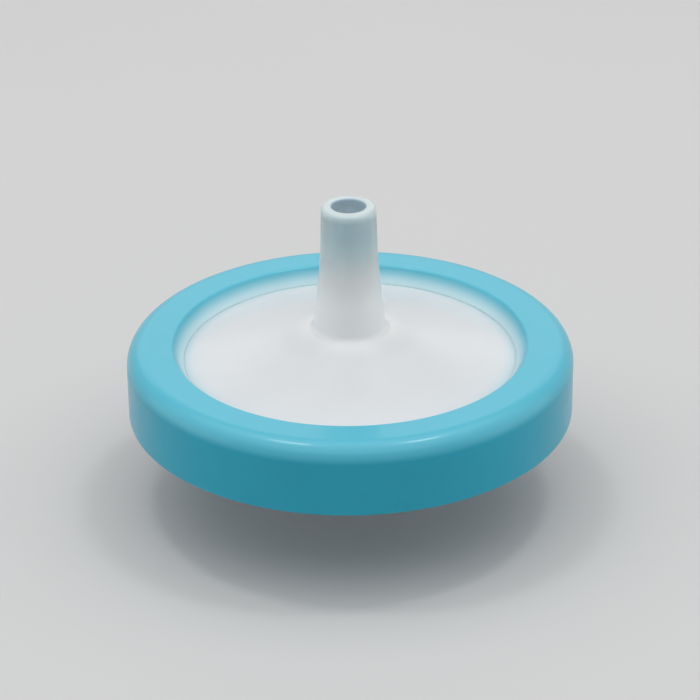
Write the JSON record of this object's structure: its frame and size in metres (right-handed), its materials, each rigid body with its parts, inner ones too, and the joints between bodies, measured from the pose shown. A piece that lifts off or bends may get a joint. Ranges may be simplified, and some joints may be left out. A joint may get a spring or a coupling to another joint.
{
  "type": "syringe filter",
  "caption": "Disposable syringe filter: a round membrane housing with a moulded outer band, a luer lock inlet hub below and a slip outlet spout above.",
  "frame": {"origin": "centre of the inlet hub's end face, which the filter stands on", "axes": "+Z along the flow axis, from the inlet hub up to the outlet spout; +X through the middle of one luer lock lug"},
  "size_m": [0.033, 0.033, 0.0234],
  "materials": {
    "milky_plastic": "satin",
    "white_membrane": "matte",
    "blue_plastic": "satin"
  },
  "bodies": {
    "root": {"outlet_housing": "milky_plastic", "inlet_housing": "milky_plastic", "membrane": "white_membrane", "seal_band": "blue_plastic"}
  },
  "joints": []
}
